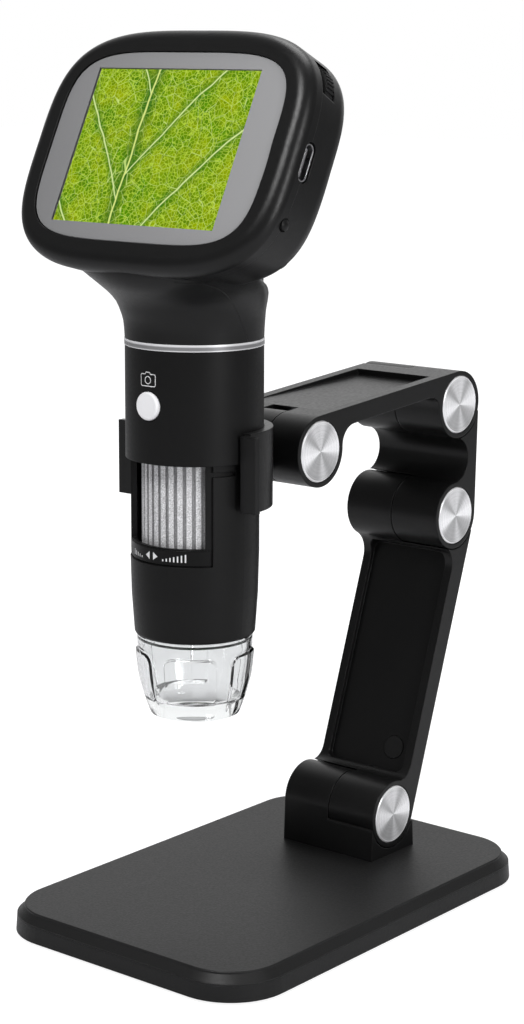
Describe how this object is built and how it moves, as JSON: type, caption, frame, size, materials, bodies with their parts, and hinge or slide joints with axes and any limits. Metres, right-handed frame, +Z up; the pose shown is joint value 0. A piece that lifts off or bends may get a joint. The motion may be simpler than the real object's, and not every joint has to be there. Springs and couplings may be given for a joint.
{
  "type": "lcd digital microscope",
  "caption": "Handheld microscope with a tilted screen head, held by a clamp on a jointed arm that rises from a flat rounded base.",
  "frame": {"origin": "centre of the base's footprint at the level of the feet", "axes": "+Z up, -Y to the side the screen faces, +X to the stand's right as seen facing the screen"},
  "size_m": [0.081, 0.1298, 0.2202],
  "materials": {
    "black_shell": "satin",
    "black_arm": "fine grain",
    "spun_disc": "spun",
    "steel": "plain",
    "dark_rubber": "matte",
    "silver_ring": "satin",
    "silver_wheel": "metallic satin",
    "white_key": "satin",
    "clear_hood": "clear",
    "lens_glass": "clear",
    "window_glass": "tinted gloss",
    "lcd": "lit screen",
    "circuit": "solder mask",
    "lamp": "clear resin",
    "cell": "foil",
    "marked_strip": "printed",
    "flat_cable": "film"
  },
  "bodies": {
    "stand": {"base_tray": "black_arm", "base_cover": "black_shell", "base_weight": "steel", "base_feet": "dark_rubber", "base_screws": "steel", "post": "black_arm", "post_screws": "steel", "post_cap": "spun_disc", "post_pin": "steel", "post_nut": "steel", "post_washer": "steel"},
    "lower_link": {"lower_arm": "black_arm", "lower_arm_plug": "dark_rubber", "lower_arm_caps": "spun_disc", "lower_pin": "steel", "lower_nut": "steel", "lower_washer": "steel"},
    "middle_bracket": {"middle_link": "black_arm", "middle_link_caps": "spun_disc", "middle_pin": "steel", "middle_nut": "steel", "middle_washer": "steel"},
    "upper_link": {"upper_arm": "black_arm", "upper_arm_caps": "spun_disc", "upper_pin": "steel", "upper_nut": "steel", "upper_washer": "steel"},
    "clamp": {"clamp_bracket": "black_arm"},
    "microscope": {"trim_ring": "silver_ring", "upper_tube": "black_shell", "shutter_board": "circuit", "sensor_board": "circuit", "lower_sleeve": "black_shell", "scale_strip": "marked_strip", "led_board": "circuit", "led_lamps": "lamp", "clear_cap": "clear_hood", "front_shell": "black_shell", "rear_shell": "black_shell", "head_screws": "steel", "screen_window": "window_glass", "lcd_panel": "lcd", "main_board": "circuit", "battery": "cell", "usb_port": "steel", "ribbon_cable": "flat_cable"},
    "focus_ring": {"focus_wheel": "silver_wheel"},
    "lens": {"lens_barrel": "black_arm", "lens_glass": "lens_glass"},
    "shutter": {"shutter_button": "white_key"},
    "dial": {"brightness_dial": "dark_rubber"},
    "key": {"side_key": "dark_rubber"}
  },
  "joints": [
    {"name": "post_hinge", "type": "hinge", "parent": "stand", "child": "lower_link", "pos_m": [0, 0.033, 0.018], "axis": [1, 0, 0], "range_deg": [-20, 30]},
    {"name": "lower_hinge", "type": "hinge", "parent": "lower_link", "child": "middle_bracket", "pos_m": [0, 0.05914, 0.09435], "axis": [-1, 0, 0], "range_deg": [-30, 25]},
    {"name": "middle_hinge", "type": "hinge", "parent": "middle_bracket", "child": "upper_link", "pos_m": [0, 0.05992, 0.12414], "axis": [1, 0, 0], "range_deg": [-20, 20]},
    {"name": "clamp_hinge", "type": "hinge", "parent": "upper_link", "child": "clamp", "pos_m": [0, 0.0004, 0.11946], "axis": [1, 0, 0], "range_deg": [-20, 20]},
    {"name": "tube_turn", "type": "hinge", "parent": "clamp", "child": "microscope", "pos_m": [0, -0.0296, 0], "axis": [0, 0, 1], "range_deg": [-40, 40]},
    {"name": "focus_turn", "type": "hinge", "parent": "microscope", "child": "focus_ring", "pos_m": [0, -0.0296, 0], "axis": [0, 0, 1], "range_deg": [-120, 60]},
    {"name": "lens_slide", "type": "slide", "parent": "microscope", "child": "lens", "axis": [0, 0, -1], "range_m": [-0.004, 0.002]},
    {"name": "shutter_press", "type": "slide", "parent": "microscope", "child": "shutter", "axis": [0, 1, 0], "range_m": [0, 0.0008], "stiffness_N_per_m": 600},
    {"name": "dial_turn", "type": "hinge", "parent": "microscope", "child": "dial", "pos_m": [0.0311, -0.02697, 0.20622], "axis": [0, -0.8965, 0.4431], "range_deg": [-140, 140]},
    {"name": "key_press", "type": "slide", "parent": "microscope", "child": "key", "axis": [-1, 0, 0], "range_m": [0, 0.0004], "stiffness_N_per_m": 900}
  ],
  "couplings": [
    {"joint": "focus_turn", "follows": "lens_slide", "rad_per_m": 523.59}
  ]
}
